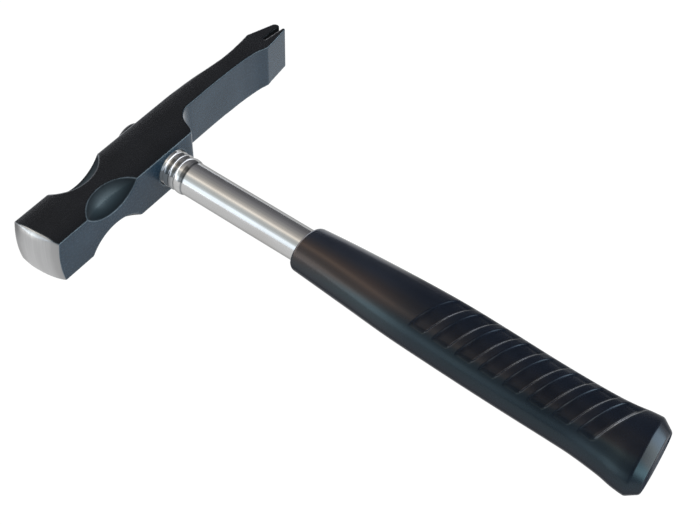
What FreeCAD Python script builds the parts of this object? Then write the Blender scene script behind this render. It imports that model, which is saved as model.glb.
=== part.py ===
import FreeCAD, Part
import math
import os

V = FreeCAD.Vector

# Mason's scutch hammer lying on its side, in millimetres.
# +X runs along the head towards the slotted comb end, the handle runs along -Y,
# and +Z is the normal of the upper cheek. The eye of the head is at x = 0.
# Lengths along the handle, called "reach", are counted from the middle of the eye.

# ---- driving dimensions -------------------------------------------------------
TUBE_DIAMETER = 18.0
TUBE_WALL = 1.5
HEAD_SECTION = 26.5          # the poll and the eye block are square bars
GRIP_END_REACH = 288.0       # middle of the eye to the butt of the grip

# ---- head ---------------------------------------------------------------------
HALF_HEAD = HEAD_SECTION / 2
HALF_THICKNESS = 14.3        # the cheeks swell from the long edges to a flat middle land
CHEEK_LAND = 8.0             # width of that flat land
CHEEK_CURVE_RADIUS = 40.7
FACE_APEX_X = -82.7          # foremost point of the crowned striking face
FACE_CORNER_X = -79.5        # mean place of its four corners
FACE_CROWN_Y_RADIUS = 50.0   # crown as seen on the cheek
FACE_CROWN_Z_RADIUS = 62.0   # crown as seen on the handle side
FACE_LEAN_DEG = 6.0          # the face leans, so the handle side is the shorter one
UPPER_RELIEF = 0.0           # ground relief of the face's upper edge starts here behind its corners
LOWER_RELIEF = -1.6          # the lower edge is ground less
BLOCK_END_X = 14.2           # handle-side corner of the eye block
SCOOP_MIDDLE_X = -42.0       # scallops ground out of the four long edges
SCOOP_RADIUS = 23.6
SCOOP_OFFSET = 11.6          # of the scoop's centre from the two faces of the bar
EDGE_CHAMFER = 0.5

# ---- comb end -----------------------------------------------------------------
TIP_X = 103.8
JAW_X = 87.2                 # thickest place behind the tapered tip
BLADE_DRAW_X = 68.0          # from here the blade's cheeks draw in to the jaw
SLOT_ROOT_X = 90.3
SLOT_ROOT_Y = 2.3
SLOT_MOUTH_Y = 1.1
SLOT_ROOT_WIDTH = 1.7
SLOT_MOUTH_WIDTH = 2.4

# ---- eye, tube and plug -------------------------------------------------------
TUBE_RADIUS = TUBE_DIAMETER / 2
BORE_RADIUS = TUBE_RADIUS - TUBE_WALL
FLARE_START_Y = 2.0          # from here the eye and the tube widen together
FLARE = 0.8
EYE_MOUTH_RADIUS = 10.2
EYE_MOUTH_DEPTH = 1.2
BEAD_COUNT = 3
BEAD_FIRST_REACH = 15.2
BEAD_PITCH = 3.9
BEAD_HEIGHT = 0.75
BEAD_LENGTH = 3.3
TUBE_END_REACH = 277.0
PLUG_HEAD_RADIUS = 9.8
PLUG_HEAD_HEIGHT = 4.5
PLUG_HEAD_ROUND = 1.2
PLUG_SHANK_LENGTH = 18.0
BUTT_PLUG_LENGTH = 12.0
BUTT_PLUG_FLANGE = 2.0

# ---- grip ---------------------------------------------------------------------
# reach, half width in X, half thickness in Z, shift of the centre to -X, lean of the section
GRIP_SECTIONS = [
    (99.9, 12.32, 12.05, 0.33, -6.0),
    (112.0, 13.25, 12.70, 0.25, -3.0),
    (130.0, 14.71, 13.00, 0.26, 0.0),
    (155.0, 16.53, 13.20, 0.45, 0.0),
    (180.0, 17.45, 13.25, 0.54, 0.0),
    (205.0, 17.55, 13.25, 1.09, 0.0),
    (228.0, 17.32, 13.25, 1.59, 0.0),
    (244.0, 17.33, 13.25, 1.70, 0.0),
    (256.0, 17.58, 13.35, 1.76, 0.0),
    (264.0, 18.22, 13.50, 1.93, 1.0),
    (270.0, 18.97, 13.80, 1.98, 2.2),
    (276.0, 20.15, 14.10, 2.08, 3.4),
    (282.0, 20.66, 14.30, 2.08, 4.4),
]
GRIP_RIM = 1.8               # axial length of the rounded front rim
GRIP_RIM_DROP = 1.6
GRIP_BUTT_CHAMFER = 4.0
GRIP_BUTT_LEAN_DEG = 5.0     # the butt is cut off a little aslant
POCKET_COUNT = 8
POCKET_FIRST_REACH = 174.7
POCKET_PITCH = 12.73
POCKET_WIDTH = 9.3           # along the handle
POCKET_SPAN = 25.0           # across the handle
POCKET_SLANT_DEG = 21.5
POCKET_CORNER = 2.2
POCKET_DEPTH = 1.1
POCKET_SHIFT_X = 0.1
POCKET_TOOL_HEIGHT = 30.0    # of the cutting prism, well clear of the grip


def to_floor(shape):
    """Move a shape from the eye-centred frame to the frame that stands on the floor."""
    moved = shape.copy()
    moved.translate(V(-ORIGIN_X, -ORIGIN_Y, HALF_THICKNESS))
    return moved


def line(start, end):
    return Part.LineSegment(V(*start, 0), V(*end, 0)).toShape()


def arc(start, middle, end):
    return Part.Arc(V(*start, 0), V(*middle, 0), V(*end, 0)).toShape()


def curve(points, first_slope, last_slope):
    """A smooth curve through a few points, with a given direction at each end."""
    spline = Part.BSplineCurve()
    spline.interpolate(
        Points=[V(*point, 0) for point in points],
        InitialTangent=V(*first_slope, 0),
        FinalTangent=V(*last_slope, 0),
    )
    return spline.toShape()


def cylinder(radius, low_y, high_y):
    """A cylinder about the handle's axis, between two heights along Y."""
    return Part.makeCylinder(radius, high_y - low_y, V(0, low_y, 0), V(0, 1, 0))


def cone(low_radius, high_radius, low_y, high_y):
    return Part.makeCone(low_radius, high_radius, high_y - low_y, V(0, low_y, 0), V(0, 1, 0))


# ---- head ---------------------------------------------------------------------
def head_outline():
    """Outline of the cheek: a square bar, the eye block's step and the comb blade."""
    poll_x = FACE_APEX_X - 5
    near = -HALF_HEAD
    far = HALF_HEAD
    edges = [
        line((poll_x, near), (BLOCK_END_X, near)),
        arc((BLOCK_END_X, near), (15.6, -12.3), (16.6, -10.4)),
        line((16.6, -10.4), (18.0, -6.4)),
        arc((18.0, -6.4), (21.9, -1.6), (29.0, 0.1)),
        curve([(29.0, 0.1), (46.0, 0.2), (72.0, -0.8), (JAW_X - 0.9, -3.7)], (1, 0.02), (1, -0.35)),
        line((JAW_X - 0.9, -3.7), (TIP_X - 0.8, -1.7)),
        arc((TIP_X - 0.8, -1.7), (TIP_X, -0.9), (TIP_X - 0.4, 0.1)),
        line((TIP_X - 0.4, 0.1), (TIP_X - 0.4, 2.2)),
        arc((TIP_X - 0.4, 2.2), (TIP_X, 4.4), (TIP_X - 1.8, 6.3)),
        line((TIP_X - 1.8, 6.3), (JAW_X + 1.6, 11.0)),
        arc((JAW_X + 1.6, 11.0), (JAW_X, 11.35), (JAW_X - 1.8, 11.0)),
        curve([(JAW_X - 1.8, 11.0), (67.0, 9.35), (45.0, 11.9), (28.0, far)], (-1, -0.25), (-1, 0)),
        line((28.0, far), (poll_x, far)),
        line((poll_x, far), (poll_x, near)),
    ]
    return Part.Wire(edges)


def crown():
    """Solid whose front is the crowned face: an arc swung about an axis along Y."""
    half = 30.0
    sag = FACE_CROWN_Y_RADIUS - math.sqrt(FACE_CROWN_Y_RADIUS ** 2 - half ** 2)
    front = Part.Arc(
        V(FACE_APEX_X + sag, -half, 0), V(FACE_APEX_X, 0, 0), V(FACE_APEX_X + sag, half, 0)
    ).toShape()
    axis_x = FACE_APEX_X + FACE_CROWN_Z_RADIUS
    closing = Part.makePolygon(
        [V(FACE_APEX_X + sag, half, 0), V(axis_x, half, 0), V(axis_x, -half, 0),
         V(FACE_APEX_X + sag, -half, 0)]
    )
    profile = Part.Face(Part.Wire([front] + closing.Edges))
    swing = 60
    profile.rotate(V(axis_x, 0, 0), V(0, 1, 0), -swing / 2)
    body = profile.revolve(V(axis_x, 0, 0), V(0, 1, 0), swing)
    body.rotate(V(FACE_CORNER_X, 0, 0), V(0, 0, 1), FACE_LEAN_DEG)
    return body


def scoops():
    """The four balls that scallop the long edges between the poll and the eye."""
    balls = []
    for y_side in (-1, 1):
        for z_side in (-1, 1):
            offset = HALF_HEAD + SCOOP_OFFSET
            centre = V(SCOOP_MIDDLE_X, y_side * offset, z_side * offset)
            balls.append(Part.makeSphere(SCOOP_RADIUS, centre))
    return balls


def comb_slot():
    """Slightly flared slot for a scutch comb, open at the tip and on both cheeks."""
    reach = TIP_X + 4
    slope = (SLOT_MOUTH_Y - SLOT_ROOT_Y) / (TIP_X - SLOT_ROOT_X)
    mouth_y = SLOT_ROOT_Y + slope * (reach - SLOT_ROOT_X)
    root = SLOT_ROOT_WIDTH / 2
    mouth = SLOT_MOUTH_WIDTH / 2
    wire = Part.Wire([
        line((SLOT_ROOT_X + root, SLOT_ROOT_Y - root), (reach, mouth_y - mouth)),
        line((reach, mouth_y - mouth), (reach, mouth_y + mouth)),
        line((reach, mouth_y + mouth), (SLOT_ROOT_X + root, SLOT_ROOT_Y + root)),
        arc((SLOT_ROOT_X + root, SLOT_ROOT_Y + root), (SLOT_ROOT_X, SLOT_ROOT_Y),
            (SLOT_ROOT_X + root, SLOT_ROOT_Y - root)),
    ])
    return extrude_z(wire, 2 * HALF_THICKNESS + 10)


def extrude_z(wire, height):
    """Solid from a flat outline, centred on the middle plane of the hammer."""
    face = Part.Face(wire)
    face.translate(V(0, 0, -height / 2))
    return face.extrude(V(0, 0, height))


def cheek_envelope():
    """Bar along X with the swollen cheeks: a flat land and a gentle curve on either side."""
    land = CHEEK_LAND / 2
    reach = HALF_HEAD + 3
    upper = []
    for y in (land, (land + reach) / 2, reach):
        drop = CHEEK_CURVE_RADIUS - math.sqrt(CHEEK_CURVE_RADIUS ** 2 - (y - land) ** 2)
        upper.append((y, HALF_THICKNESS - drop))
    edges = []
    for z_side in (-1, 1):
        for y_side in (-1, 1):
            curved = [V(0, y_side * y, z_side * z) for y, z in upper]
            edges.append(Part.Arc(*curved).toShape())
        ends = [V(0, side * land, z_side * HALF_THICKNESS) for side in (-1, 1)]
        edges.append(Part.LineSegment(*ends).toShape())
    for y_side in (-1, 1):
        ends = [V(0, y_side * reach, z_side * upper[-1][1]) for z_side in (-1, 1)]
        edges.append(Part.LineSegment(*ends).toShape())
    outline = Part.Wire(Part.__sortEdges__(edges))
    face = Part.Face(outline)
    face.translate(V(FACE_APEX_X - 10, 0, 0))
    return face.extrude(V(TIP_X - FACE_APEX_X + 20, 0, 0))


def blade_envelope():
    """Side view of the head: the cheeks draw in a little towards the comb end."""
    start = FACE_APEX_X - 10
    high = HALF_THICKNESS + 2
    end = TIP_X + 5
    edges = []
    for side in (-1, 1):
        corners = [V(start, 0, side * high), V(BLADE_DRAW_X, 0, side * high)]
        meet = V(BLADE_DRAW_X, 0, side * (HALF_THICKNESS + 0.1))
        narrow = V(JAW_X + 2, 0, side * HALF_HEAD)
        middle = V((BLADE_DRAW_X + JAW_X + 2) / 2, 0, side * (HALF_THICKNESS - 0.25))
        edges.append(Part.LineSegment(*corners).toShape())
        edges.append(Part.LineSegment(corners[1], meet).toShape())
        edges.append(Part.Arc(meet, middle, narrow).toShape())
        edges.append(Part.LineSegment(narrow, V(end, 0, side * HALF_HEAD)).toShape())
    edges.append(Part.LineSegment(V(start, 0, -high), V(start, 0, high)).toShape())
    edges.append(Part.LineSegment(V(end, 0, -HALF_HEAD), V(end, 0, HALF_HEAD)).toShape())
    face = Part.Face(Part.Wire(Part.__sortEdges__(edges)))
    face.translate(V(0, -40, 0))
    return face.extrude(V(0, 80, 0))


def face_relief(z_side, setback):
    """Wedge that grinds the crowned edge of the striking face back at 45 degrees."""
    wedge = Part.makeBox(40, 60, 20, V(-20, -30, 0))
    wedge.rotate(V(0, 0, 0), V(0, 1, 0), -45)
    wedge.translate(V(FACE_CORNER_X + setback, 0, HALF_THICKNESS))
    if z_side < 0:
        wedge = wedge.mirror(V(0, 0, 0), V(0, 0, 1))
    wedge.rotate(V(FACE_CORNER_X, 0, 0), V(0, 0, 1), FACE_LEAN_DEG)
    return wedge


def cheek_edge_cutter():
    """Bar turned 45 degrees that takes a chamfer off the straight edges of the bar."""
    side = HEAD_SECTION * math.sqrt(2) - EDGE_CHAMFER * math.sqrt(2)
    bar = Part.makeBox(400, side, side, V(-200, -side / 2, -side / 2))
    bar.rotate(V(0, 0, 0), V(1, 0, 0), 45)
    return bar


def hammer_head():
    body = extrude_z(head_outline(), 2 * HALF_THICKNESS + 2)
    body = body.common(cheek_envelope())
    body = body.common(blade_envelope())
    body = body.common(crown_block())
    body = body.cut(face_relief(1, UPPER_RELIEF))
    body = body.cut(face_relief(-1, LOWER_RELIEF))
    body = body.common(cheek_edge_cutter())
    for ball in scoops():
        body = body.cut(ball)
    body = body.cut(eye_bore())
    body = body.cut(comb_slot())
    return body


def crown_block():
    """The crown solid, carried on past the comb end so that only the face is shaped."""
    rest = Part.makeBox(200, 120, 120, V(FACE_APEX_X + 20, -60, -60))
    return crown().fuse(rest)


def eye_bore():
    """Round eye: straight, then widening to the far side, with a flared mouth."""
    near = -HALF_HEAD
    straight = cylinder(TUBE_RADIUS, near - 1, FLARE_START_Y)
    widening = cone(TUBE_RADIUS, TUBE_RADIUS + FLARE, FLARE_START_Y, HALF_HEAD)
    over = cylinder(TUBE_RADIUS + FLARE, HALF_HEAD, HALF_HEAD + 2)
    mouth = cone(EYE_MOUTH_RADIUS, TUBE_RADIUS, near, near + EYE_MOUTH_DEPTH)
    return straight.fuse([widening, over, mouth])


# ---- shaft --------------------------------------------------------------------
def bead(reach):
    """One rounded ring upset into the tube, standing out under the head."""
    half = BEAD_LENGTH / 2
    profile = Part.Wire([
        Part.Arc(V(TUBE_RADIUS, -reach - half, 0), V(TUBE_RADIUS + BEAD_HEIGHT, -reach, 0),
                 V(TUBE_RADIUS, -reach + half, 0)).toShape(),
        Part.LineSegment(V(TUBE_RADIUS, -reach + half, 0), V(BORE_RADIUS, -reach + half, 0)).toShape(),
        Part.LineSegment(V(BORE_RADIUS, -reach + half, 0), V(BORE_RADIUS, -reach - half, 0)).toShape(),
        Part.LineSegment(V(BORE_RADIUS, -reach - half, 0), V(TUBE_RADIUS, -reach - half, 0)).toShape(),
    ])
    return Part.Face(profile).revolve(V(0, 0, 0), V(0, 1, 0), 360)


def shaft_tube():
    """Steel tube from the far side of the head to inside the butt of the grip."""
    outer = cylinder(TUBE_RADIUS, -TUBE_END_REACH, FLARE_START_Y)
    outer = outer.fuse(cone(TUBE_RADIUS, TUBE_RADIUS + FLARE, FLARE_START_Y, HALF_HEAD))
    for index in range(BEAD_COUNT):
        outer = outer.fuse(bead(BEAD_FIRST_REACH + index * BEAD_PITCH))
    inner = cylinder(BORE_RADIUS, -TUBE_END_REACH - 1, FLARE_START_Y)
    inner = inner.fuse(cone(BORE_RADIUS, BORE_RADIUS + FLARE, FLARE_START_Y, HALF_HEAD))
    return outer.cut(inner)


def expander_plug():
    """Tapered plug that keeps the tube spread in the eye, with a low domed head."""
    low = HALF_HEAD - PLUG_SHANK_LENGTH
    shank = cylinder(BORE_RADIUS, low, FLARE_START_Y)
    taper = cone(BORE_RADIUS, BORE_RADIUS + FLARE, FLARE_START_Y, HALF_HEAD)
    head = cylinder(PLUG_HEAD_RADIUS, HALF_HEAD, HALF_HEAD + PLUG_HEAD_HEIGHT)
    rim = [edge for edge in head.Edges if edge.BoundBox.YMin > HALF_HEAD + PLUG_HEAD_HEIGHT - 0.01]
    head = head.makeFillet(PLUG_HEAD_ROUND, rim)
    return shank.fuse([taper, head])


def butt_plug():
    """Stopper in the lower end of the tube, which carries the closed end of the grip."""
    shank = cylinder(BORE_RADIUS, -TUBE_END_REACH, -TUBE_END_REACH + BUTT_PLUG_LENGTH)
    flange = cylinder(TUBE_RADIUS, -TUBE_END_REACH - BUTT_PLUG_FLANGE, -TUBE_END_REACH)
    return shank.fuse(flange)


# ---- grip ---------------------------------------------------------------------
def grip_wire(reach, half_width, half_thickness, shift, lean, inset=0.0):
    """Oval section of the grip at one reach, or the same section taken inwards."""
    centre = V(-shift, -reach, 0)
    turn = math.radians(lean)
    width = V(math.cos(turn), math.sin(turn), 0) * (half_width - inset)
    thickness = V(0, 0, half_thickness - inset)
    oval = Part.Ellipse(centre + width, centre + thickness, centre)
    return Part.Wire([oval.toShape()])


def grip_loft(inset=0.0):
    wires = [grip_wire(*section, inset=inset) for section in GRIP_SECTIONS]
    return Part.makeLoft(wires, True, False)


def grip_ends():
    """The rounded front rim and the chamfered butt, as two short tapered lofts."""
    first = GRIP_SECTIONS[0]
    last = GRIP_SECTIONS[-1]
    rim = Part.makeLoft([
        grip_wire(*first),
        grip_wire(first[0] - GRIP_RIM * 0.60, *first[1:], inset=GRIP_RIM_DROP * 0.25),
        grip_wire(first[0] - GRIP_RIM * 0.90, *first[1:], inset=GRIP_RIM_DROP * 0.62),
        grip_wire(first[0] - GRIP_RIM, *first[1:], inset=GRIP_RIM_DROP),
    ], True, True)
    butt = Part.makeLoft([
        grip_wire(*last),
        grip_wire(GRIP_END_REACH, *last[1:4], GRIP_BUTT_LEAN_DEG, inset=GRIP_BUTT_CHAMFER),
    ], True, True)
    return [rim, butt]


def pocket_prism(reach, z_side):
    """Slanted, round-cornered prism that marks out one shallow grip pocket."""
    half_span = POCKET_SPAN / 2
    half_width = POCKET_WIDTH / 2
    slant = half_span * math.tan(math.radians(POCKET_SLANT_DEG))
    corners = [
        V(-half_span, slant - half_width, 0),
        V(half_span, -slant - half_width, 0),
        V(half_span, -slant + half_width, 0),
        V(-half_span, slant + half_width, 0),
    ]
    outline = Part.Wire(Part.makePolygon(corners + corners[:1]).Edges)
    prism = Part.Face(outline).extrude(V(0, 0, z_side * POCKET_TOOL_HEIGHT))
    upright = [edge for edge in prism.Edges if abs(edge.BoundBox.ZLength - POCKET_TOOL_HEIGHT) < 0.01]
    prism = prism.makeFillet(POCKET_CORNER, upright)
    prism.translate(V(POCKET_SHIFT_X, -reach, 0))
    return prism


def grip_pockets():
    """Shallow pockets between the slanted ribs, on both broad sides of the grip."""
    floor = grip_loft(inset=POCKET_DEPTH)
    prisms = []
    for index in range(POCKET_COUNT):
        reach = POCKET_FIRST_REACH + index * POCKET_PITCH
        for z_side in (-1, 1):
            prisms.append(pocket_prism(reach, z_side))
    return [prism.cut(floor) for prism in prisms]


def handle_grip():
    body = grip_loft().fuse(grip_ends())
    for pocket in grip_pockets():
        body = body.cut(pocket)
    front = -GRIP_SECTIONS[0][0] + GRIP_RIM + 1
    body = body.cut(cylinder(TUBE_RADIUS, -TUBE_END_REACH - BUTT_PLUG_FLANGE, front))
    return body


# ---- frame and export ---------------------------------------------------------
PARTS = {
    "hammer_head": hammer_head,
    "shaft_tube": shaft_tube,
    "expander_plug": expander_plug,
    "handle_grip": handle_grip,
    "butt_plug": butt_plug,
}


def export(shapes):
    os.makedirs("parts", exist_ok=True)
    for name, shape in shapes.items():
        placed = to_floor(shape.removeSplitter())
        placed.exportStep("parts/" + name + ".step")
        box = placed.optimalBoundingBox(False)
        print(name, "solids", len(placed.Solids), "valid", placed.isValid(), "volume %.0f" % placed.Volume,
              "x %.2f %.2f y %.2f %.2f z %.2f %.2f" % (box.XMin, box.XMax, box.YMin, box.YMax, box.ZMin, box.ZMax))


SHAPES = {name: make() for name, make in PARTS.items()}
ORIGIN_X = (SHAPES["hammer_head"].optimalBoundingBox(False).XMin + TIP_X) / 2
ORIGIN_Y = (HALF_HEAD + PLUG_HEAD_HEIGHT + SHAPES["handle_grip"].optimalBoundingBox(False).YMin) / 2
print("eye middle lies at x %.3f y %.3f" % (-ORIGIN_X, -ORIGIN_Y))
export(SHAPES)
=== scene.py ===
import math

import bpy
import numpy as np
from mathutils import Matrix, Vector


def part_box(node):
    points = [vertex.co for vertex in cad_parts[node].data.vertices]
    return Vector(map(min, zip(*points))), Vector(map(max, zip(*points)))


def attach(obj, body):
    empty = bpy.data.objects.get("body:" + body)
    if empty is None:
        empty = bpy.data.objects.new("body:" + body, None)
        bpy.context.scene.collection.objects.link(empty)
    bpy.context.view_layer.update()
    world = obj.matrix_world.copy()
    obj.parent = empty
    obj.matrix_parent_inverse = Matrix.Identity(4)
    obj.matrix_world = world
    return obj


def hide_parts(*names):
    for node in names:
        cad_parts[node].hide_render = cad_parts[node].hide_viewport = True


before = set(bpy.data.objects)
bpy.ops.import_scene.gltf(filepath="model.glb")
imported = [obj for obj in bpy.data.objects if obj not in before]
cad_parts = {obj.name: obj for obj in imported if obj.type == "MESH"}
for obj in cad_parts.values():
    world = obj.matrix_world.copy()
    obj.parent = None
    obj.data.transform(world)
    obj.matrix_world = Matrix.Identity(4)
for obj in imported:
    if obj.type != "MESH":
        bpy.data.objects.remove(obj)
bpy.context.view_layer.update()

# Everything below is worked out in millimetres about the middle of the eye, where the head's
# long axis (x, towards the comb end) meets the handle's axis (-y, towards the butt), and is
# turned into metres of the row frame by add_mesh. "Reach" is the distance along the handle.
MM = 0.001
tube_low, tube_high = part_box("shaft_tube")
head_low, head_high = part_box("hammer_head")
grip_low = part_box("handle_grip")[0]
plug_low, plug_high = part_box("expander_plug")
EYE = (head_low + head_high) / 2
EYE.x = (tube_low.x + tube_high.x) / 2

# ---- sizes taken from the frame ------------------------------------------------
HALF_HEAD = (head_high.y - head_low.y) / 2 / MM
HALF_THICKNESS = (head_high.z - head_low.z) / 2 / MM
TIP_X = (head_high.x - EYE.x) / MM - 0.12
PLUG_TOP = (plug_high.y - EYE.y) / MM - 0.01
PLUG_RADIUS = (plug_high.x - plug_low.x) / 2 / MM
TUBE_END = (EYE.y - tube_low.y) / MM

# ---- head ---------------------------------------------------------------------
EDGE_ROUND = 0.5
CHEEK_LAND = 4.0             # half width of the flat land along the middle of each cheek
CHEEK_CURVE_RADIUS = 40.7
FACE_APEX_X = -82.65
FACE_CORNER_X = -79.5
FACE_CROWN_Y_RADIUS = 50.0
FACE_CROWN_Z_RADIUS = 62.0
FACE_LEAN = math.radians(6.0)
FACE_RELIEFS = {1: 0.0, -1: -1.6}
BLOCK_END_X = 14.2
BLADE_DRAW_X = 68.0
JAW_X = 87.2
SCOOP_X = -42.0
SCOOP_RADIUS = 23.6
SCOOP_CENTRE = HALF_HEAD + 11.6
SLOT_ROOT = (90.3, 2.3)
SLOT_MOUTH = (TIP_X, 1.1)
SLOT_HALF_WIDTHS = (0.85, 1.2)

# ---- shaft and plug -------------------------------------------------------------
TUBE_RADIUS = 9.0
TUBE_BORE = 7.5
# y of the middle, half length, height and roundness of the two beads and the collar
TUBE_BEADS = ((-15.2, 1.45, 0.55, 0.8), (-18.6, 1.45, 0.6, 0.8), (-23.0, 2.4, 0.72, 0.55))
TUBE_GROOVES = (-16.9, -20.4, -25.5)
LATHE_SEGMENTS = 144
PLUG_SHANK = 18.0
PLUG_RIM = 1.2
AXIS_RADIUS = 0.02           # a lathed piece stops this short of its own axis
FLARE_START_Y = 2.0
FLARE = 0.8
EYE_MOUTH_RADIUS = 10.2
EYE_MOUTH_DEPTH = 1.2

# ---- grip ---------------------------------------------------------------------
# reach, half width in x, half thickness in z, shift of the centre to -x, lean in degrees
GRIP_SECTIONS = np.array([
    (99.9, 12.32, 12.05, 0.33, -6.0),
    (112.0, 13.25, 12.70, 0.25, -3.0),
    (130.0, 14.71, 13.00, 0.26, 0.0),
    (155.0, 16.53, 13.20, 0.45, 0.0),
    (180.0, 17.45, 13.25, 0.54, 0.0),
    (205.0, 17.55, 13.25, 1.09, 0.0),
    (228.0, 17.32, 13.25, 1.59, 0.0),
    (244.0, 17.33, 13.25, 1.70, 0.0),
    (256.0, 17.58, 13.35, 1.76, 0.0),
    (264.0, 18.22, 13.50, 1.93, 1.0),
    (270.0, 18.97, 13.80, 1.98, 2.2),
    (276.0, 20.15, 14.10, 2.08, 3.4),
    (282.0, 20.66, 14.28, 2.08, 4.6),
    (288.0, 20.66, 14.28, 2.08, 5.0),
])
GRIP_START = GRIP_SECTIONS[0, 0]
GRIP_END = (EYE.y - grip_low.y) / MM - 1.62     # at the middle: the butt is cut off aslant
BUTT_TURN = 280.9            # the skin turns into the butt's chamfer here
RIM_LENGTH = 1.8
RIM_DROP = 1.6
POCKET_COUNT = 8
POCKET_FIRST = 174.7
POCKET_PITCH = 12.73
POCKET_WIDTH = 9.3
POCKET_SLANT = math.radians(20.5)
POCKET_DEPTHS = (0.60, 1.05)  # at the side towards the head and at the side towards the butt
POCKET_WALLS = (1.3, 1.35)    # widths of the walls on those two sides
POCKET_ENDS = (-14.4, 18.0)   # along the skin from the middle line, towards -x and +x
POCKET_FADES = (3.2, 9.0)     # the pocket runs out over these lengths at its two ends
POCKET_CORNER = 2.0
LAST_POCKET = (1.35, 2.4)     # depth and wall of the last pocket, where the grip flares


# ---- mesh helpers --------------------------------------------------------------
def add_mesh(name, points, faces, smooth=True):
    """A piece from points in millimetres about the eye, placed in the row frame."""
    mesh = bpy.data.meshes.new(name)
    places = np.asarray(points, float) * MM + np.array(EYE)
    mesh.from_pydata(places.tolist(), [], faces)
    mesh.polygons.foreach_set("use_smooth", [smooth] * len(mesh.polygons))
    mesh.update()
    piece = bpy.data.objects.new(name, mesh)
    bpy.context.scene.collection.objects.link(piece)
    return piece


def add_attribute(piece, name, values):
    """A number per point that the piece's material can read."""
    attribute = piece.data.attributes.new(name, "FLOAT", "POINT")
    attribute.data.foreach_set("value", np.asarray(values, np.float32))


def arc_points(start, middle, end, steps):
    """Points on the circle through three points, without the last one."""
    ax, ay = start
    bx, by = middle
    cx, cy = end
    area = 2 * (ax * (by - cy) + bx * (cy - ay) + cx * (ay - by))
    squares = [ax * ax + ay * ay, bx * bx + by * by, cx * cx + cy * cy]
    ux = (squares[0] * (by - cy) + squares[1] * (cy - ay) + squares[2] * (ay - by)) / area
    uy = (squares[0] * (cx - bx) + squares[1] * (ax - cx) + squares[2] * (bx - ax)) / area
    radius = math.hypot(ax - ux, ay - uy)
    first = math.atan2(ay - uy, ax - ux)
    turn = math.tau
    sweep = (math.atan2(cy - uy, cx - ux) - first) % turn
    if (math.atan2(by - uy, bx - ux) - first) % turn > sweep:
        sweep -= turn
    angles = [first + sweep * step / steps for step in range(steps)]
    return [(ux + radius * math.cos(a), uy + radius * math.sin(a)) for a in angles]


def smooth_values(stations, values, at):
    """Cubic curve through a table of values, read at any places."""
    stations = np.asarray(stations, float)
    values = np.asarray(values, float)
    slopes = np.gradient(values, stations)
    at = np.clip(at, stations[0], stations[-1])
    index = np.clip(np.searchsorted(stations, at, side="right") - 1, 0, len(stations) - 2)
    width = stations[index + 1] - stations[index]
    t = (at - stations[index]) / width
    return (
        values[index] * (2 * t ** 3 - 3 * t ** 2 + 1)
        + values[index + 1] * (3 * t ** 2 - 2 * t ** 3)
        + slopes[index] * width * (t ** 3 - 2 * t ** 2 + t)
        + slopes[index + 1] * width * (t ** 3 - t ** 2)
    )


def curve_points(points, step):
    """Points along a smooth curve y(x) through a few points, without the last one."""
    xs = [point[0] for point in points]
    ys = [point[1] for point in points]
    order = np.argsort(xs)
    count = max(2, int(abs(xs[-1] - xs[0]) / step))
    places = np.linspace(xs[0], xs[-1], count + 1)[:-1]
    return list(zip(places, smooth_values(np.array(xs)[order], np.array(ys)[order], places)))


def round_corners(points, radii, steps=6):
    """A polyline whose inner corners are rounded to the given radii."""
    path = [points[0]]
    for before, corner, after, radius in zip(points, points[1:], points[2:], radii):
        before, corner, after = (np.array(p, float) for p in (before, corner, after))
        back = (before - corner) / np.linalg.norm(before - corner)
        ahead = (after - corner) / np.linalg.norm(after - corner)
        half = math.acos(max(-1.0, min(1.0, float(back @ ahead)))) / 2
        if radius <= 0 or half > math.pi / 2 - 0.01:
            path.append(tuple(corner))
            continue
        bisector = (back + ahead) / np.linalg.norm(back + ahead)
        centre = corner + bisector * radius / math.sin(half)
        tangent = radius / math.tan(half)
        middle = centre + (corner - centre) * radius / np.linalg.norm(corner - centre)
        first = tuple(corner + back * tangent)
        last = tuple(corner + ahead * tangent)
        path += arc_points(first, tuple(middle), last, steps) + [last]
    path.append(points[-1])
    return path


def lathe(name, profile):
    """A closed ring profile of (y, radius) turned about the handle's axis."""
    segments = LATHE_SEGMENTS
    angles = np.linspace(0, math.tau, segments, endpoint=False)
    points = []
    for y, radius in profile:
        for angle in angles:
            points.append((radius * math.cos(angle), y, radius * math.sin(angle)))
    faces = []
    count = len(profile)
    for ring in range(count):
        following = (ring + 1) % count
        for segment in range(segments):
            beside = (segment + 1) % segments
            faces.append((
                ring * segments + segment, ring * segments + beside,
                following * segments + beside, following * segments + segment,
            ))
    return add_mesh(name, points, faces)


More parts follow.
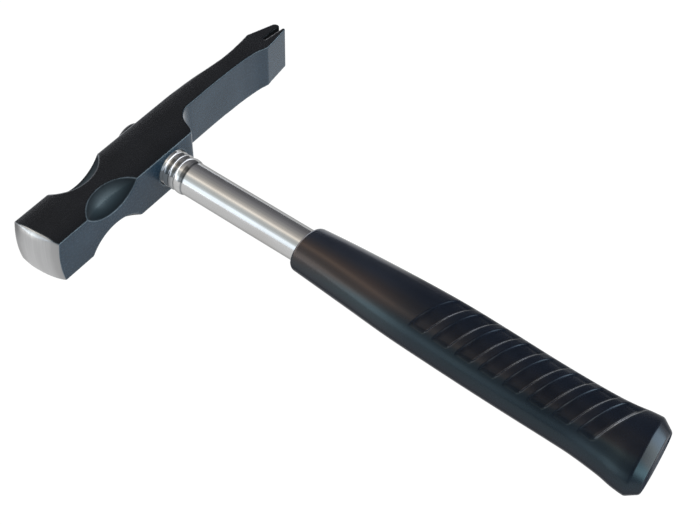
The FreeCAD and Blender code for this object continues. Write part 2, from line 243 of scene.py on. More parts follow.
def surface_net(values, axes):
    """Points and quads of the zero surface of a field sampled on a box of grid lines."""
    sizes = [length - 1 for length in values.shape]
    solid = values < 0
    corners = [(i, j, k) for i in (0, 1) for j in (0, 1) for k in (0, 1)]
    full = sum(solid[i:i + sizes[0], j:j + sizes[1], k:k + sizes[2]].astype(int) for i, j, k in corners)
    cells = np.argwhere((full > 0) & (full < 8))
    number = np.full(sizes, -1)
    number[tuple(cells.T)] = np.arange(len(cells))
    total = np.zeros((len(cells), 3))
    crossings = np.zeros(len(cells))
    for axis in range(3):
        for corner in corners:
            if corner[axis]:
                continue
            low = cells + corner
            high = low.copy()
            high[:, axis] += 1
            low_value = values[tuple(low.T)]
            high_value = values[tuple(high.T)]
            crossed = (low_value < 0) != (high_value < 0)
            share = np.where(crossed, low_value / np.where(crossed, low_value - high_value, 1), 0)
            for k in range(3):
                start = axes[k][low[:, k]]
                total[:, k] += crossed * (start + share * (axes[k][high[:, k]] - start))
            crossings += crossed
    points = total / crossings[:, None]
    faces = []
    for axis in range(3):
        other = [(axis + 1) % 3, (axis + 2) % 3]
        ahead = np.swapaxes(solid, 0, axis)
        changes = np.argwhere(np.swapaxes(ahead[1:] != ahead[:-1], 0, axis))
        changes = changes[(changes[:, other[0]] > 0) & (changes[:, other[1]] > 0)]
        quad = []
        for a, b in ((-1, -1), (0, -1), (0, 0), (-1, 0)):
            cell = changes.copy()
            cell[:, other[0]] += a
            cell[:, other[1]] += b
            quad.append(number[tuple(cell.T)])
        quad = np.stack(quad, 1)
        leaving = solid[tuple(changes.T)]
        quad[~leaving] = quad[~leaving][:, ::-1]
        faces.append(quad)
    return points, np.concatenate(faces).tolist()


# ---- head ---------------------------------------------------------------------
def head_outline():
    """Outline of the cheek: the square bar, the eye block's step and the comb blade."""
    poll_x = FACE_APEX_X - 5
    tip = TIP_X
    points = [(poll_x, -HALF_HEAD)]
    points += arc_points((BLOCK_END_X, -HALF_HEAD), (15.6, -12.3), (16.6, -10.4), 8)
    points += [(16.6, -10.4)]
    points += arc_points((18.0, -6.4), (21.9, -1.6), (29.0, 0.1), 24)
    under_blade = [(29.0, 0.1), (46.0, 0.2), (60.0, -0.15), (72.0, -0.8), (80.0, -1.9), (86.3, -3.7)]
    points += curve_points(under_blade, 1.0)
    points += [(86.3, -3.7)]
    points += arc_points((tip - 0.8, -1.7), (tip, -0.9), (tip - 0.4, 0.1), 8)
    points += [(tip - 0.4, 0.1)]
    points += arc_points((tip - 0.4, 2.2), (tip, 4.4), (tip - 1.8, 6.3), 10)
    points += [(tip - 1.8, 6.3)]
    points += arc_points((JAW_X + 1.6, 11.0), (JAW_X, 11.35), (JAW_X - 1.8, 11.0), 8)
    over_blade = [(JAW_X - 1.8, 11.0), (77.0, 10.05), (67.0, 9.6), (56.0, 10.6), (45.0, 12.05)]
    points += curve_points(over_blade + [(28.0, HALF_HEAD)], 1.0)
    points += [(28.0, HALF_HEAD), (poll_x, HALF_HEAD)]
    return points


def outline_distance(x, y, points):
    """Signed distance in the plane to a closed outline, negative inside."""
    x, y = np.broadcast_arrays(x, y)
    nearest = np.full(x.shape, np.inf)
    inside = np.zeros(x.shape, bool)
    for (ax, ay), (bx, by) in zip(points, points[1:] + points[:1]):
        ex = bx - ax
        ey = by - ay
        share = np.clip(((x - ax) * ex + (y - ay) * ey) / (ex * ex + ey * ey), 0, 1)
        nearest = np.minimum(nearest, (x - ax - share * ex) ** 2 + (y - ay - share * ey) ** 2)
        if ey:
            inside ^= ((ay > y) != (by > y)) & (x < ax + ex * (y - ay) / ey)
    return np.where(inside, -1, 1) * np.sqrt(nearest)


def cheek_fields(x, y, z):
    """How far a point stands out of the two swollen cheeks."""
    beyond = np.clip(np.abs(y) - CHEEK_LAND, 0, None)
    root = np.sqrt(CHEEK_CURVE_RADIUS ** 2 - beyond ** 2)
    swell = (np.abs(z) - HALF_THICKNESS + CHEEK_CURVE_RADIUS - root) * root / CHEEK_CURVE_RADIUS
    drawn = np.clip((x - BLADE_DRAW_X) / (JAW_X + 2 - BLADE_DRAW_X), 0, 1)
    draw = (HALF_THICKNESS - HALF_HEAD + 0.1) * drawn * drawn * (1.5 - 0.5 * drawn)
    taper = np.abs(z) - HALF_THICKNESS - 0.1 + draw
    return [swell, taper + 0 * y]


def face_fields(x, y, z):
    """How far a point stands out of the crowned face and of the relief along its two edges."""
    turned_x = math.cos(FACE_LEAN) * (x - FACE_CORNER_X) + math.sin(FACE_LEAN) * y
    turned_y = math.cos(FACE_LEAN) * y - math.sin(FACE_LEAN) * (x - FACE_CORNER_X)
    front = FACE_APEX_X - FACE_CORNER_X + turned_y ** 2 / (2 * FACE_CROWN_Y_RADIUS)
    front = front + z ** 2 / (2 * FACE_CROWN_Z_RADIUS)
    steep = np.sqrt(1 + (turned_y / FACE_CROWN_Y_RADIUS) ** 2 + (z / FACE_CROWN_Z_RADIUS) ** 2)
    fields = [(front - turned_x) / steep]
    for side, setback in FACE_RELIEFS.items():
        fields.append((setback - turned_x + side * z - HALF_THICKNESS) / math.sqrt(2))
    return fields


def cut_fields(x, y, z):
    """How far a point lies inside the scallops, the eye or the comb slot."""
    fields = []
    for y_side in (-1, 1):
        for z_side in (-1, 1):
            off_y = y - y_side * SCOOP_CENTRE
            off_z = z - z_side * SCOOP_CENTRE
            fields.append(SCOOP_RADIUS - np.sqrt((x - SCOOP_X) ** 2 + off_y ** 2 + off_z ** 2))
    axial = np.hypot(x, z)
    widening = TUBE_RADIUS + FLARE * np.clip(y - FLARE_START_Y, 0, None) / (HALF_HEAD - FLARE_START_Y)
    fields.append(widening - axial)
    mouth = EYE_MOUTH_RADIUS - (y + HALF_HEAD) * (EYE_MOUTH_RADIUS - TUBE_RADIUS) / EYE_MOUTH_DEPTH
    fields.append((mouth - axial) / math.hypot(1, (EYE_MOUTH_RADIUS - TUBE_RADIUS) / EYE_MOUTH_DEPTH))
    along_x = SLOT_MOUTH[0] - SLOT_ROOT[0]
    along_y = SLOT_MOUTH[1] - SLOT_ROOT[1]
    share = ((x - SLOT_ROOT[0] - SLOT_HALF_WIDTHS[0]) * along_x + (y - SLOT_ROOT[1]) * along_y)
    share = np.clip(share / (along_x ** 2 + along_y ** 2), 0, 1.6)
    off_x = x - SLOT_ROOT[0] - SLOT_HALF_WIDTHS[0] - share * along_x
    off_y = y - SLOT_ROOT[1] - share * along_y
    half_width = SLOT_HALF_WIDTHS[0] + share * (SLOT_HALF_WIDTHS[1] - SLOT_HALF_WIDTHS[0])
    fields.append(half_width - np.hypot(off_x, off_y) + 0 * z)
    return fields


def rounded_solid(fields, radius):
    """The solid inside all the fields, with every edge between two of them rounded."""
    outermost = fields[0] + radius
    squares = np.clip(fields[0] + radius, 0, None) ** 2
    for field in fields[1:]:
        outermost = np.maximum(outermost, field + radius)
        squares = squares + np.clip(field + radius, 0, None) ** 2
    return np.minimum(outermost, 0) + np.sqrt(squares) - radius


def head_grid_x():
    """Grid lines along the head, closer where the shape is finer."""
    stretches = [(-84.2, -76.0, 0.36), (-76.0, -61.0, 0.85), (-61.0, -23.0, 0.43), (-23.0, -12.0, 0.85),
                 (-12.0, 31.0, 0.48), (31.0, 84.0, 0.95), (84.0, TIP_X + 1.0, 0.34)]
    lines = []
    for start, end, step in stretches:
        lines += np.linspace(start, end, round((end - start) / step), endpoint=False).tolist()
    return np.array(lines + [TIP_X + 1.0])


def make_head():
    """The forged head, with its face, sides, scoops, slot and edges marked for the material."""
    outline = head_outline()
    xs = head_grid_x()
    ys = np.linspace(-HALF_HEAD - 0.8, HALF_HEAD + 0.8, 67)
    zs = np.linspace(-HALF_THICKNESS - 0.8, HALF_THICKNESS + 0.8, 69)
    x, y, z = xs[:, None, None], ys[None, :, None], zs[None, None, :]

    def all_fields(x, y, z):
        body = [outline_distance(x, y, outline) + 0 * z] + cheek_fields(x, y, z) + cut_fields(x, y, z)
        return body, face_fields(x, y, z)

    body, face = all_fields(x, y, z)
    values = rounded_solid(body + face, EDGE_ROUND)
    points, faces = surface_net(values, (xs, ys, zs))
    body, face = all_fields(*points.T)
    piece = add_mesh("forged_head", points, faces)
    x, y, z = points.T
    # fields: body[0] sides, body[1:3] cheeks, body[3:7] scoops, body[7:9] eye, body[9] slot
    cheeks = np.maximum(body[1], body[2])
    outside = np.maximum(body[0], cheeks)
    ranked = np.sort(np.stack([body[0], cheeks] + body[3:-1] + face), axis=0)
    scooped = np.clip(0.5 + (np.max(body[3:7], axis=0) - outside) / 0.6, 0, 1)
    # painted highlight: how far into a scallop a point lies, for a lighter coat towards its middle
    scoop_highlight = scooped * np.clip(-outside / 5.0, 0, 1) ** 1.5
    slotted = np.clip(0.5 + (body[-1] - outside) / 0.4, 0, 1)
    dull_scoop = scooped * np.where(y < 0, 0.7 * (1 - scoop_highlight), 1.0)
    # painted light on the ground face: painted shade darkens it along both of its flanks, and a painted
    # highlight lightens it by its upper edge
    near_flank_shade = 0.42 * np.clip((-y - 7.0) / 4.0, 0, 1) + 0.08 * np.clip(-z / 10.0, 0, 1)
    far_flank_shade = np.clip((y - 6.0) / 5.0, 0, 1) * (0.57 + 0.43 * np.clip((z - 3.0) / 9.0, 0, 1))
    marks = {
        "bare": np.clip(0.5 + np.max(face, axis=0) - np.max(body, axis=0), 0, 1),
        "edge": np.clip(1 + ranked[-2] / 1.2, 0, 1),
        "side": np.clip(0.5 + (body[0] - cheeks) / 0.8, 0, 1),
        "scoop": scooped,
        "scoop_highlight": scoop_highlight,
        "slot": slotted,
        "matt": np.maximum(dull_scoop, slotted),
        "block": np.clip((BLOCK_END_X - x) / 4.0, 0, 1),
        "flank_shade": near_flank_shade + far_flank_shade,
        "face_top_highlight": np.exp(-((y - 3.0) / 4.3) ** 2 - ((z - 12.8) / 1.7) ** 2),
    }
    for name, values in marks.items():
        add_attribute(piece, name, values)
    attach(piece, "root")
    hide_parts("hammer_head")
    return piece


# ---- shaft --------------------------------------------------------------------
def make_tube():
    """Drawn tube with two rolled beads and a broader collar under the head."""
    profile = [(HALF_HEAD, TUBE_BORE + FLARE), (HALF_HEAD, TUBE_RADIUS + FLARE)]
    profile += [(FLARE_START_Y, TUBE_RADIUS), (-13.4, TUBE_RADIUS)]
    steps = 12
    for centre, half, height, roundness in TUBE_BEADS:
        for step in range(steps + 1):
            share = step / steps
            rise = math.sin(math.pi * share) ** roundness
            profile.append((centre + half - 2 * half * share, TUBE_RADIUS + height * rise))
    profile += [(-26.5, TUBE_RADIUS), (-60.0, TUBE_RADIUS), (-95.0, TUBE_RADIUS)]
    profile += [(-TUBE_END, TUBE_RADIUS), (-TUBE_END, TUBE_BORE), (FLARE_START_Y, TUBE_BORE)]
    piece = lathe("steel_tube", profile)
    # where the grooves get painted shade in the tube's colour
    along = np.array([y for y, radius in profile])
    grooves = sum(np.exp(-((along - groove) / 0.4) ** 2) for groove in TUBE_GROOVES)
    add_attribute(piece, "groove", np.repeat(np.clip(grooves, 0, 1), LATHE_SEGMENTS))
    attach(piece, "root")
    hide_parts("shaft_tube")
    return piece


def make_plug():
    """Expander plug: a tapered shank and a low head with a rounded rim."""
    top = [(PLUG_TOP, AXIS_RADIUS), (PLUG_TOP, PLUG_RADIUS), (HALF_HEAD, PLUG_RADIUS)]
    profile = round_corners(top + [(HALF_HEAD, TUBE_BORE + FLARE)], (PLUG_RIM, 0.0), 8)
    low = HALF_HEAD - PLUG_SHANK
    profile += [(FLARE_START_Y, TUBE_BORE), (low + 1.0, TUBE_BORE)]
    profile += [(low, TUBE_BORE - 1.0), (low, AXIS_RADIUS)]
    piece = lathe("domed_plug", profile)
    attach(piece, "root")
    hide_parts("expander_plug")
    return piece


# ---- grip ---------------------------------------------------------------------
def grip_section(reach):
    """Half width, half thickness, shift and lean of the grip at any reach."""
    return [smooth_values(GRIP_SECTIONS[:, 0], GRIP_SECTIONS[:, k], reach) for k in (1, 2, 3, 4)]


def grip_rows():
    """Rows of the grip's skin: station along the handle, inset, and slant of the row."""
    first_lean, last_lean = GRIP_SECTIONS[0, 4], GRIP_SECTIONS[-1, 4]
    rows = [(GRIP_START - RIM_LENGTH, inset, -first_lean) for inset in (RIM_DROP + 0.55, RIM_DROP + 0.25)]
    for step in range(13):
        angle = math.radians(90 * (1 - step / 12))
        station = GRIP_START - RIM_LENGTH * math.sin(angle)
        rows.append((station, RIM_DROP * (1 - math.cos(angle)), -first_lean))
    slant = math.degrees(POCKET_SLANT)
    pockets_start = POCKET_FIRST - POCKET_PITCH / 2
    for station in np.arange(GRIP_START + 1.0, pockets_start - 0.3, 1.0):
        share = np.clip((station - GRIP_START) / (pockets_start - GRIP_START - 8), 0, 1)
        ease = share * share * (3 - 2 * share)
        rows.append((station, 0.0, -first_lean + ease * (slant + first_lean)))
    steps = (-6.3, -5.6, -5.0, -4.7, -4.55, -4.4, -4.25, -4.1, -3.7, -2.7, -1.4, -0.2,
             1.0, 2.0, 2.7, 3.1, 3.35, 3.6, 3.85, 4.1, 4.3, 4.5, 4.7, 5.1, 5.7)
    for index in range(POCKET_COUNT):
        rows += [(POCKET_FIRST + index * POCKET_PITCH + step, 0.0, slant) for step in steps]
    pockets_end = rows[-1][0] + 0.3
    for station in np.arange(pockets_end, BUTT_TURN, 0.8):
        share = (station - pockets_end) / (BUTT_TURN - pockets_end)
        rows.append((station, 0.0, slant - share * (slant + last_lean)))
    butt = [(BUTT_TURN, 0.0), (282.0, 0.0), (GRIP_END, 4.0), (GRIP_END, 7.0)]
    butt = round_corners(butt, (2.6, 1.8), 7)
    rows += [(station, inset, -last_lean) for station, inset in butt]
    rows += [(GRIP_END, inset, -last_lean) for inset in (8.5, 10.5, 12.5, 14.0, 14.27)]
    return np.array(rows)


def skin_across(angles):
    """Distance along the skin from the grip's middle line, the same on both broad sides."""
    half_width, half_thick = GRIP_SECTIONS[4, 1:3]
    turned = math.pi / 2 - np.where(angles > math.pi, math.tau - angles, angles)
    return (half_width + half_thick) / 2 * turned + (half_width - half_thick) / 4 * np.sin(2 * turned)


def pocket_depth(across, station):
    """How deep the skin lies under the smooth oval: eight slanted pockets, deeper to the butt."""
    depth = np.zeros(np.broadcast(across, station).shape)
    middle = (POCKET_ENDS[0] + POCKET_ENDS[1]) / 2
    half_span = (POCKET_ENDS[1] - POCKET_ENDS[0]) / 2
    ramp = np.clip(0.5 + across / (2 * half_span), 0, 1)
    fade = POCKET_FADES[0] + ramp * ramp * (POCKET_FADES[1] - POCKET_FADES[0])
    for index in range(POCKET_COUNT):
        off = station - POCKET_FIRST - index * POCKET_PITCH
        down = np.clip(0.5 + off / POCKET_WIDTH, 0, 1)
        low, high = POCKET_DEPTHS
        wall_low, wall_high = POCKET_WALLS
        if index == POCKET_COUNT - 1:
            high, wall_high = LAST_POCKET
        wall = np.where(off < 0, wall_low, wall_high)
        over_x = (np.abs(across - middle) - half_span) / fade
        over_y = (np.abs(off) - POCKET_WIDTH / 2) / wall
        corner = POCKET_CORNER / np.minimum(fade, 2.0)
        away = np.hypot(np.clip(over_x + corner, 0, None), np.clip(over_y + corner, 0, None))
        away = away + np.minimum(np.maximum(over_x, over_y) + corner, 0) - corner
        share = np.clip(-away, 0, 1)
        depth = depth + (low + down * (high - low)) * share * share * (3 - 2 * share)
    return depth


def make_grip():
    """Moulded grip: an oval skin in rows that run with the ribs, a butt and the tube's bore."""
    rows = grip_rows()
    columns = 240
    angles = np.linspace(0, math.tau, columns, endpoint=False)[None, :]
    station, inset, slant = (rows[:, k][:, None] for k in range(3))
    half_width, _, shift, _ = grip_section(station)
    slope = np.tan(np.radians(slant))
    across = skin_across(angles)
    helical = np.clip(slant / math.degrees(POCKET_SLANT), 0, 1)
    rough_x = half_width * np.cos(angles) - shift
    reach = station + slope * (rough_x + helical * (across - rough_x))
    lean = grip_section(reach)[3]
    level = reach + np.tan(np.radians(lean)) * rough_x
    at_end = (station > 280.0) | (station < GRIP_START + 0.5)
    level = np.where(at_end, station, level)
    half_width, half_thick, shift, _ = grip_section(level)
    x = (half_width - inset) * np.cos(angles) - shift
    z = (half_thick - inset) * np.sin(angles)
    reach = station + slope * (x + helical * (across - x))
    normal_x = np.cos(angles) / half_width
    normal_z = np.sin(angles) / half_thick
    length = np.hypot(normal_x, normal_z)
    pits = pocket_depth(across, station) * np.where(inset > 0, 0, 1) / length
    points = np.stack([x - pits * normal_x, -reach, z - pits * normal_z], -1)
    bore = []
    bore_end = -TUBE_END - 2
    bore_mouth = -GRIP_START + RIM_LENGTH - 1.0
    for y, radius in ((bore_end, 0.05), (bore_end, TUBE_RADIUS), (bore_mouth, TUBE_RADIUS)):
        ring = np.zeros((1, columns, 3))
        ring[..., 0] = radius * np.cos(angles)
        ring[..., 1] = y
        ring[..., 2] = radius * np.sin(angles)
        bore.append(ring)
    grid = np.concatenate([points] + bore)
    count = grid.shape[0]
    skin_count = points.shape[0]
    faces = []
    for row in range(count):
        following = (row + 1) % count
        if row == skin_count - 1:
            continue
        for column in range(columns):
            beside = (column + 1) % columns
            faces.append((
                row * columns + column, row * columns + beside,
                following * columns + beside, following * columns + column,
            ))
    last = (skin_count - 1) * columns
    faces.append(tuple(last + column for column in reversed(range(columns))))
    faces.append(tuple(skin_count * columns + column for column in range(columns)))
    piece = add_mesh("moulded_grip", grid.reshape(-1, 3), faces)
    end_face = np.zeros((count, columns))
    end_face[:skin_count] = np.clip(inset / 2.0 - 1.9, 0, 1) * (station > 280.0)
    add_attribute(piece, "end_face", end_face.ravel())
    # the pocket walls that face the head, for a painted highlight and more gloss
    nearest = np.clip(np.round((station - POCKET_FIRST) / POCKET_PITCH), 0, POCKET_COUNT - 1)
    off = station - POCKET_FIRST - POCKET_PITCH * nearest
    on_wall = np.exp(-((off - POCKET_WIDTH / 2 + 0.65) / 0.75) ** 2)
    rib_wall_highlight = np.zeros((count, columns))
    rib_wall_highlight[:skin_count] = on_wall * np.clip(across / 8 + 1, 0, 1)
    add_attribute(piece, "rib_wall_highlight", rib_wall_highlight.ravel())
    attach(piece, "root")
    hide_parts("handle_grip")
    return piece


# ---- materials ----------------------------------------------------------------
def set_range(made, low, high, to_low, to_high):
    """The four ends of a Map Range node."""
    made.inputs["From Min"].default_value = low
    made.inputs["From Max"].default_value = high
    made.inputs["To Min"].default_value = to_low
    made.inputs["To Max"].default_value = to_high


class Look:
    """A node material with one Principled shader and short calls for the nodes before it."""

    def __init__(self, name, **constants):
        self.material = bpy.data.materials.new(name)
        self.material.use_nodes = True
        self.nodes = self.material.node_tree.nodes
        self.links = self.material.node_tree.links
        self.shader = self.nodes["Principled BSDF"]
        for socket, value in constants.items():
            self.shader.inputs[socket.replace("_", " ")].default_value = value

    def node(self, kind, settings=None, **inputs):
        made = self.nodes.new(kind)
        for key, value in (settings or {}).items():
            setattr(made, key, value)
        for key, value in inputs.items():
            self.feed(made, key.replace("_", " "), value)
        return made

    def feed(self, node, socket, value):
        target = node.inputs[int(socket)] if socket.isdigit() else node.inputs[socket]
        if isinstance(value, bpy.types.NodeSocket):
            self.links.new(value, target)
        else:
            target.default_value = value

    def places(self, stretch=(1, 1, 1)):
        coordinates = self.node("ShaderNodeTexCoord").outputs["Object"]
        return self.node("ShaderNodeMapping", Vector=coordinates, Scale=stretch).outputs["Vector"]

    def noise(self, scale, detail=2.0, stretch=(1, 1, 1)):
        made = self.node("ShaderNodeTexNoise", Vector=self.places(stretch), Scale=scale, Detail=detail)
        return made.outputs["Fac"]

    def span(self, value, low, high, to_low, to_high):
        made = self.node("ShaderNodeMapRange", {"interpolation_type": "SMOOTHSTEP"}, Value=value)
        set_range(made, low, high, to_low, to_high)
        return made.outputs["Result"]

    def attribute(self, name):
        return self.node("ShaderNodeAttribute", {"attribute_name": name}).outputs["Fac"]

    def maths(self, operation, first, second):
        made = self.node("ShaderNodeMath", {"operation": operation})
        self.feed(made, "0", first)
        self.feed(made, "1", second)
        return made.outputs[0]

    def mix(self, share, first, second):
        made = self.node("ShaderNodeMix", {"data_type": "RGBA"})
        self.feed(made, "0", share)
        self.feed(made, "6", first)
        self.feed(made, "7", second)
        return made.outputs[2]

    def blend(self, share, first, second):
        made = self.node("ShaderNodeMix", {"data_type": "FLOAT"})
        for socket, value in (("0", share), ("2", first), ("3", second)):
            self.feed(made, socket, value)
        return made.outputs[0]

    def bump(self, height, strength, distance, before=None):
        made = self.node("ShaderNodeBump", Height=height, Strength=strength, Distance=distance)
        if before:
            self.links.new(before, made.inputs["Normal"])
        return made.outputs["Normal"]

    def finish(self, **linked):
        for socket, value in linked.items():
            self.links.new(value, self.shader.inputs[socket.replace("_", " ")])
        return self.material


def grey(level, warm=0.0, blue=0.0):
    """A grey with a share more red and a share more blue."""
    return (level * (1 + warm), level, level * (1 + blue), 1.0)


def head_look():
    """Thin satin coat on forged steel, black on the cheeks, with painted light: a lighter blue coat on
    the sides, lighter scallop middles and painted shade in the comb slot; ground face with painted shade
    along its flanks and a painted highlight by its upper edge.
    """
    look = Look("black_coat_and_ground_face")
    bare = look.span(look.attribute("bare"), 0.46, 0.54, 0.0, 1.0)
    mottle = look.noise(60, 4.0)
    pebble = look.noise(900, 3.0)
    grinding = look.noise(220, 5.0, (1, 6, 0.12))
    bands = look.noise(60, 3.0, (1, 3, 0.2))
    patchy = look.span(mottle, 0.35, 0.65, 0, 1)
    cheek = look.mix(patchy, (0.0045, 0.005, 0.0065, 1), (0.0065, 0.007, 0.009, 1))
    # painted light: the sides get a lighter, bluer coat than the cheeks, for the blue light they reflect
    side = look.mix(patchy, (0.012, 0.0235, 0.036, 1), (0.016, 0.029, 0.043, 1))
    coat = look.mix(look.attribute("side"), cheek, side)
    coat = look.mix(look.attribute("scoop"), coat, (0.007, 0.010, 0.013, 1))
    # painted highlight: a lighter, bluer coat towards the middle of the scallops
    coat = look.mix(look.attribute("scoop_highlight"), coat, (0.020, 0.030, 0.036, 1))
    # painted shade: the inside of the comb slot is near black
    coat = look.mix(look.attribute("slot"), coat, (0.001, 0.001, 0.0015, 1))
    rubbed = look.span(look.attribute("edge"), 0.55, 0.95, 0, 1)
    rubbed = look.maths("MULTIPLY", rubbed, look.span(mottle, 0.3, 0.6, 0.4, 1.0))
    coat = look.mix(rubbed, coat, (0.14, 0.16, 0.18, 1))
    steel = look.mix(look.span(grinding, 0.3, 0.7, 0, 1), (0.36, 0.36, 0.363, 1), (0.43, 0.43, 0.433, 1))
    steel = look.mix(look.span(bands, 0.35, 0.7, 0, 0.5), steel, (0.47, 0.47, 0.47, 1))
    # painted shade: the ground face is darker along its flanks
    steel = look.mix(look.attribute("flank_shade"), steel, (0.13, 0.13, 0.132, 1))
    # painted highlight: the ground face is much lighter by the middle of its upper edge
    face_top_highlight = look.maths("MULTIPLY", look.attribute("face_top_highlight"), look.span(bands, 0.3, 0.6, 0.4, 1.0))
    steel = look.mix(face_top_highlight, steel, (0.78, 0.77, 0.75, 1))
    colour = look.mix(bare, coat, steel)
    coat_rough = look.blend(look.attribute("matt"), look.span(pebble, 0.3, 0.7, 0.23, 0.30), 0.85)
    steel_rough = look.span(grinding, 0.3, 0.7, 0.30, 0.42)
    height = look.blend(bare, look.maths("ADD", pebble, mottle), grinding)
    normal = look.bump(height, 0.09, 0.00006)
    thin = look.maths("MULTIPLY", look.attribute("block"), look.attribute("side"))
    gloss = look.blend(look.attribute("matt"), look.blend(thin, 0.3, 0.17), 0.05)
    return look.finish(Base_Color=colour, Metallic=bare, Normal=normal, Specular_IOR_Level=gloss,
                       Roughness=look.blend(bare, coat_rough, steel_rough))


def tube_look():
    """Plated tube: bright, with a faint lengthwise draw, painted shade in the grooves and a painted
    reflection of the dark head on its underside next to the head.
    """
    look = Look("plated_steel", Metallic=1.0, Specular_Tint=(0.5, 0.5, 0.5, 1))
    draw = look.noise(260, 4.0, (1, 0.03, 1))
    cloud = look.noise(45, 3.0)
    colour = look.mix(look.span(draw, 0.3, 0.7, 0, 1), grey(0.47), grey(0.53))
    colour = look.mix(look.span(cloud, 0.45, 0.75, 0, 0.35), colour, grey(0.40, 0.04, -0.04))
    across, along, _ = look.node("ShaderNodeSeparateXYZ", Vector=look.places()).outputs
    # painted reflection of the dark head on the tube's underside next to it, and painted shade in the
    # grooves
    head_reflection_and_groove_shade = look.maths("MULTIPLY", look.span(along, EYE.y - 0.0225, EYE.y - 0.0165, 0, 0.9),
                       look.span(across, EYE.x - 0.0080, EYE.x - 0.0045, 1, 0))
    head_reflection_and_groove_shade = look.maths("MAXIMUM", head_reflection_and_groove_shade, look.maths("MULTIPLY", look.attribute("groove"), 0.8))
    colour = look.mix(head_reflection_and_groove_shade, colour, (0.06, 0.075, 0.09, 1))
    rough = look.span(draw, 0.25, 0.75, 0.11, 0.18)
    normal = look.bump(draw, 0.12, 0.00002)
    return look.finish(Base_Color=colour, Roughness=rough, Normal=normal)


def plug_look():
    """A dark coat like the head's, a little lighter and rougher."""
    look = Look("plug_coat")
    mottle = look.noise(70, 3.0)
    pebble = look.noise(800, 3.0)
    patchy = look.span(mottle, 0.35, 0.65, 0, 1)
    colour = look.mix(patchy, (0.0125, 0.0155, 0.0205, 1), (0.03, 0.033, 0.038, 1))
    rough = look.span(pebble, 0.3, 0.7, 0.32, 0.42)
    return look.finish(Base_Color=colour, Roughness=rough, Normal=look.bump(pebble, 0.3, 0.00006))


def rubber_look():
    """Glossy black moulded rubber: duller towards the butt, on its narrow sides and its end face, and
    glossiest on the pocket walls that face the head, which also get a painted highlight. Its reflections
    get a painted tint, warm across the middle and blue towards both narrow sides."""
    look = Look("moulded_rubber")
    skin = look.noise(1400, 3.0)
    cloud = look.noise(35, 4.0)
    clouded = look.span(cloud, 0.3, 0.7, 0, 1)
    colour = look.mix(clouded, (0.0045, 0.007, 0.013, 1), (0.0065, 0.0095, 0.017, 1))
    # painted highlight: the pocket walls that face the head are lighter
    colour = look.mix(look.attribute("rib_wall_highlight"), colour, (0.028, 0.031, 0.034, 1))
    rough = look.span(cloud, 0.3, 0.7, 0.19, 0.27)
    rough = look.blend(look.attribute("end_face"), rough, 0.85)
    normal = look.bump(skin, 0.18, 0.00004)
    normal = look.bump(cloud, 0.25, 0.0003, normal)
    across, along, _ = look.node("ShaderNodeSeparateXYZ", Vector=look.places()).outputs
    # held and gripped are full towards the butt, the two sides towards the narrow sides
    held = look.span(along, EYE.y - 0.158, EYE.y - 0.118, 1, 0)
    gripped = look.span(along, EYE.y - 0.172, EYE.y - 0.138, 1, 0)
    low_side = look.span(across, EYE.x - 0.012, EYE.x - 0.002, 1, 0)
    facing = look.node("ShaderNodeLayerWeight", Blend=0.5).outputs["Facing"]
    high_side = look.maths("MULTIPLY", held, look.span(across, EYE.x + 0.005, EYE.x + 0.010, 0, 1))
    narrow_sides = look.maths("MAXIMUM", high_side, low_side)
    dull = look.maths("MULTIPLY", narrow_sides, look.span(facing, 0.15, 0.62, 0, 1))
    gloss = look.blend(look.attribute("rib_wall_highlight"), look.blend(gripped, 0.66, 0.36), 1.0)
    gloss = look.blend(dull, gloss, 0.02)
    # painted reflection colour: reflections are tinted warm across the middle, most towards the head, and
    # blue towards both narrow sides
    reflection_tint = look.mix(gripped, (1.0, 0.76, 0.62, 1), (1.0, 0.92, 0.85, 1))
    reflection_tint = look.mix(look.span(across, EYE.x - 0.006, EYE.x + 0.001, 0, 1), reflection_tint, (0.78, 0.85, 1.0, 1))
    reflection_tint = look.mix(look.span(across, EYE.x - 0.0145, EYE.x - 0.0105, 1, 0), reflection_tint, (0.70, 0.95, 1.0, 1))
    return look.finish(Base_Color=colour, Roughness=rough, Normal=normal, Specular_IOR_Level=gloss,
                       Specular_Tint=reflection_tint)


def stopper_look():
    """Plain black plastic with a fine grain."""
    look = Look("stopper_plastic")
    grain = look.noise(900, 2.0)
    colour = look.mix(look.span(grain, 0.3, 0.7, 0, 1), grey(0.04), grey(0.06))
    return look.finish(Base_Color=colour, Roughness=look.span(grain, 0.3, 0.7, 0.5, 0.65),
                       Normal=look.bump(grain, 0.2, 0.00005))


def dress(piece, material):
    """Gives a piece its material without touching the mesh of a CAD node."""
    if not piece.material_slots:
        piece.data.materials.append(material)
    for slot in piece.material_slots:
        slot.link = "OBJECT"
        slot.material = material


# ---- camera, floor and light ---------------------------------------------------
CAMERA_PLACE = Vector((-0.33673, -0.36053, 0.51202))    # metres from the eye
CAMERA_TURNS = (39.265, -1.468, -52.996)                # degrees about x, y and z


def make_camera():
    """Camera of the photographed view: high on the striking-face side, past the butt."""
    data = bpy.data.cameras.new("camera")
    data.lens = 72.0
    data.sensor_width = 36.0
    camera = bpy.data.objects.new("camera", data)
    bpy.context.scene.collection.objects.link(camera)
    camera.location = EYE + CAMERA_PLACE
    camera.rotation_euler = [math.radians(degrees) for degrees in CAMERA_TURNS]
    bpy.context.scene.camera = camera


def make_floor():
    """A pale floor that gives a little light of its own, like a lit sweep of paper."""
    mesh = bpy.data.meshes.new("floor")
    half = 6.0
    corners = [(-half, -half, 0), (half, -half, 0), (half, half, 0), (-half, half, 0)]
    mesh.from_pydata(corners, [], [(0, 1, 2, 3)])
    floor = bpy.data.objects.new("floor", mesh)
    bpy.context.scene.collection.objects.link(floor)
    look = Look("pale_floor", Roughness=0.9)
    look.shader.inputs["Base Color"].default_value = (0.06, 0.06, 0.06, 1)
    look.shader.inputs["Specular IOR Level"].default_value = 0.0
    look.shader.inputs["Emission Color"].default_value = (1.0, 1.0, 1.0, 1)
    look.shader.inputs["Emission Strength"].default_value = 1.0
    dress(floor, look.material)


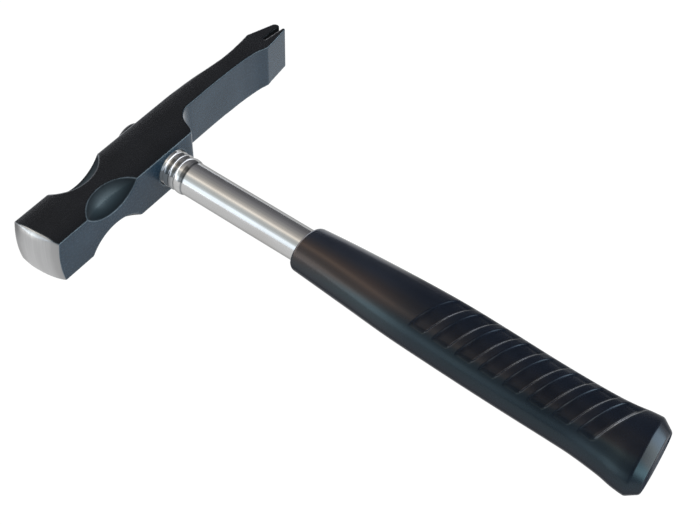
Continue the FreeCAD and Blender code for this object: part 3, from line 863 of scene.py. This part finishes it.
def make_world():
    """Studio light: a dim room with strips of light along the handle, full only towards the
    head, a window past the butt and a bright horizon beyond the head. The camera sees white."""
    world = bpy.data.worlds.new("studio")
    world.use_nodes = True
    tree = world.node_tree
    nodes, links = tree.nodes, tree.links

    def node(kind, settings=None):
        made = nodes.new(kind)
        for key, value in (settings or {}).items():
            setattr(made, key, value)
        return made

    def maths(operation, first, second):
        made = node("ShaderNodeMath", {"operation": operation})
        for index, value in enumerate((first, second)):
            if isinstance(value, bpy.types.NodeSocket):
                links.new(value, made.inputs[index])
            else:
                made.inputs[index].default_value = value
        return made.outputs[0]

    direction = node("ShaderNodeTexCoord").outputs["Generated"]
    split = node("ShaderNodeSeparateXYZ")
    links.new(direction, split.inputs[0])
    x, y, z = split.outputs
    round_handle = maths("DIVIDE", maths("ARCTAN2", z, x), math.pi)

    def ramp(stops):
        made = node("ShaderNodeValToRGB")
        made.color_ramp.interpolation = "EASE"
        elements = made.color_ramp.elements
        while len(elements) < len(stops):
            elements.new(0.5)
        for element, (degrees, colour) in zip(elements, stops):
            element.position = degrees / 180
            element.color = (*colour, 1)
        links.new(round_handle, made.inputs[0])
        return made.outputs[0]

    def span(value, low, high, to_low, to_high):
        made = node("ShaderNodeMapRange", {"interpolation_type": "SMOOTHSTEP"})
        links.new(value, made.inputs["Value"])
        set_range(made, low, high, to_low, to_high)
        return made

    # degrees about the handle, from the comb's side over the top, and the light from there
    room = ramp([
        (0, (.15, .15, .16)), (35, (.22, .22, .235)), (57, (.34, .335, .35)), (76, (.50, .49, .48)),
        (98, (.82, .77, .71)), (107, (1.28, 1.2, 1.08)), (112, (1.8, 1.65, 1.47)),
        (118, (1.22, 1.18, 1.08)), (126, (.88, .89, .87)), (137, (.82, .86, .85)),
        (148, (1.0, 1.08, 1.1)), (157, (1.85, 2.02, 2.15)), (170, (1.75, 1.95, 2.1)),
        (179, (1.05, 1.15, 1.2)),
    ])
    toward_head = span(y, 0.15, 0.37, 0.0, 1.0)      # its low end is linked to far_side
    far_side = span(x, 0.10, 0.42, 0.25, 0.75)
    links.new(far_side.outputs[0], toward_head.inputs["To Min"])
    horizon = span(maths("SUBTRACT", y, z), 0.30, 0.62, 0.0, 1.0)
    dimmed = node("ShaderNodeMix", {"data_type": "RGBA", "blend_type": "MULTIPLY"})
    dimmed.inputs[0].default_value = 1.0
    links.new(room, dimmed.inputs[6])
    links.new(toward_head.outputs[0], dimmed.inputs[7])
    window = 1.0
    for limits in ((z, 0.38, 0.70, 1, 0), (y, -0.62, -0.40, 1, 0), (x, -0.5, -0.2, 0, 1)):
        window = maths("MULTIPLY", span(*limits).outputs["Result"], window)
    windowed = node("ShaderNodeMix", {"data_type": "RGBA"})
    links.new(window, windowed.inputs[0])
    links.new(dimmed.outputs[2], windowed.inputs[6])
    windowed.inputs[7].default_value = (4.0, 5.0, 5.5, 1)
    lit = node("ShaderNodeMix", {"data_type": "RGBA"})
    links.new(horizon.outputs[0], lit.inputs[0])
    links.new(windowed.outputs[2], lit.inputs[6])
    lit.inputs[7].default_value = (3.8, 3.95, 4.2, 1)
    seen = node("ShaderNodeMix", {"data_type": "RGBA"})
    links.new(node("ShaderNodeLightPath").outputs["Is Camera Ray"], seen.inputs[0])
    links.new(lit.outputs[2], seen.inputs[6])
    seen.inputs[7].default_value = (1.0, 1.0, 1.0, 1)
    background = nodes["Background"]
    links.new(seen.outputs[2], background.inputs["Color"])
    background.inputs["Strength"].default_value = 1.0
    bpy.context.scene.world = world


make_camera()
make_floor()
make_world()
bpy.context.scene.view_settings.view_transform = "Standard"
head = make_head()
head.visible_glossy = False     # the tube's polish shows the strips of light, not the dark head, whose reflection is painted into the tube's colour
dress(head, head_look())
dress(make_tube(), tube_look())
dress(make_plug(), plug_look())
dress(make_grip(), rubber_look())
dress(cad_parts["butt_plug"], stopper_look())
